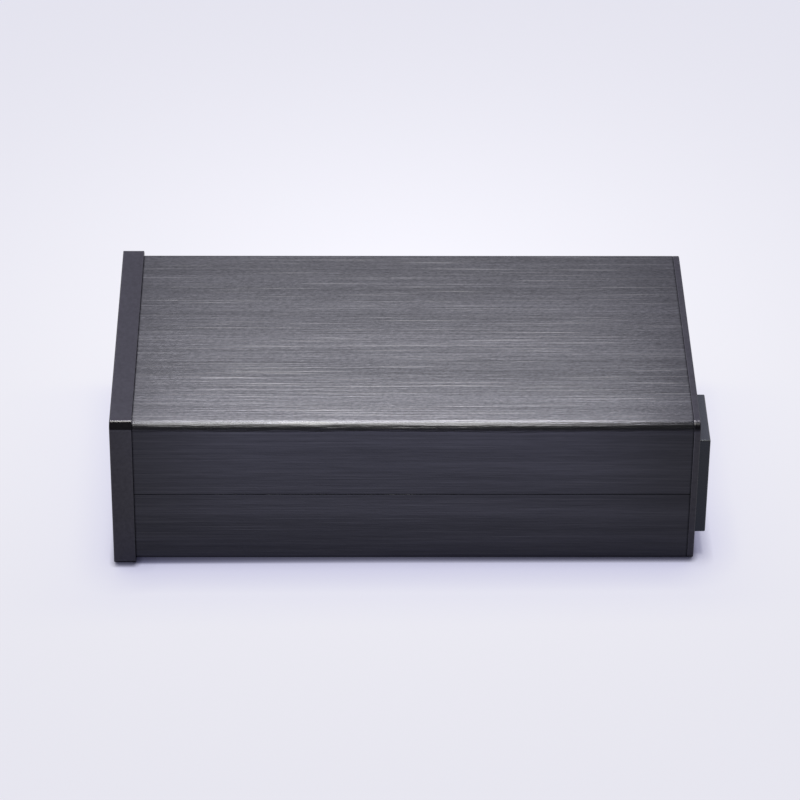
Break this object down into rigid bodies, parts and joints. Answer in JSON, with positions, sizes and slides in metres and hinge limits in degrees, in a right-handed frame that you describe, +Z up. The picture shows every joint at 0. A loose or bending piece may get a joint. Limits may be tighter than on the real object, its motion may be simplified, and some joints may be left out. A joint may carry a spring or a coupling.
{
  "type": "amplifier chassis",
  "caption": "Small black aluminium amplifier chassis: interlocking extruded half shells closed by a thick front panel and a thin rear panel with a mains inlet, to house circuit boards.",
  "frame": {"origin": "middle of the overall box, on the plane that the front panel's lower edge stands on", "axes": "-Y out of the front panel, +Y out of the rear panel, +X to the side nearest the mains inlet, +Z up"},
  "size_m": [0.0898, 0.163, 0.0474],
  "materials": {
    "shell_brushed": "black anodised, brushed along the length",
    "panel_satin": "black anodised, smooth satin",
    "screw_black": "black oxide",
    "inlet_plastic": "moulded black, fine grain",
    "pin_plated": "nickel plated"
  },
  "bodies": {
    "root": {"upper_shell": "shell_brushed", "lower_shell": "shell_brushed", "front_panel": "panel_satin", "rear_panel": "panel_satin", "front_screws": "screw_black", "rear_screws": "screw_black", "inlet_housing": "inlet_plastic", "line_pin": "pin_plated", "neutral_pin": "pin_plated", "earth_pin": "pin_plated"}
  },
  "joints": []
}
